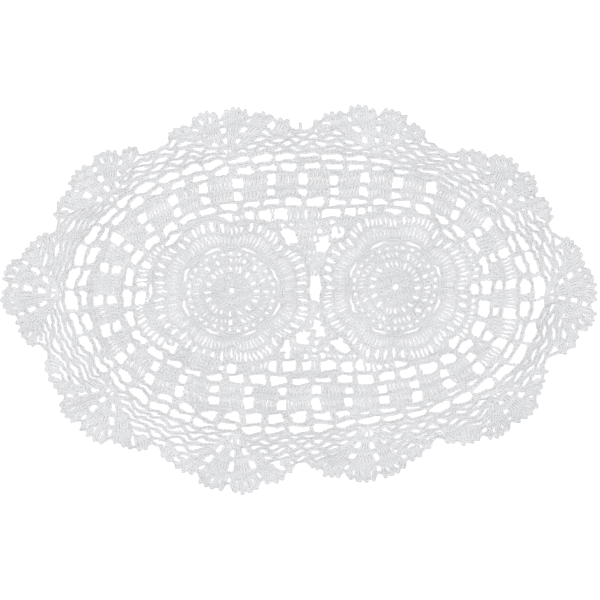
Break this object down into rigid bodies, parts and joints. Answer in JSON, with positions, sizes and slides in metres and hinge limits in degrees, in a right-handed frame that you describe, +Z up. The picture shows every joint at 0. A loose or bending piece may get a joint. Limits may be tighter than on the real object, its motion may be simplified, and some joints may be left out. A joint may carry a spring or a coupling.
{
  "type": "oval crochet doily",
  "caption": "Oval white cotton doily crocheted as one flat sheet: round motifs in chain mesh, a band of stitch blocks, open mesh rounds and a scalloped picot edge, to lie on a table.",
  "frame": {"origin": "Middle of the bounding box, on the underside, which is the face that lies on the table.", "axes": "+X runs along the doily to its right-hand tip, +Y across it to its upper long side as pictured, +Z up out of its face."},
  "size_m": [0.4492, 0.2924, 0.002],
  "materials": {
    "cotton_thread": "plied crochet cotton, matt with a faint silky sheen"
  },
  "bodies": {
    "root": {"doily": "cotton_thread"}
  },
  "joints": []
}
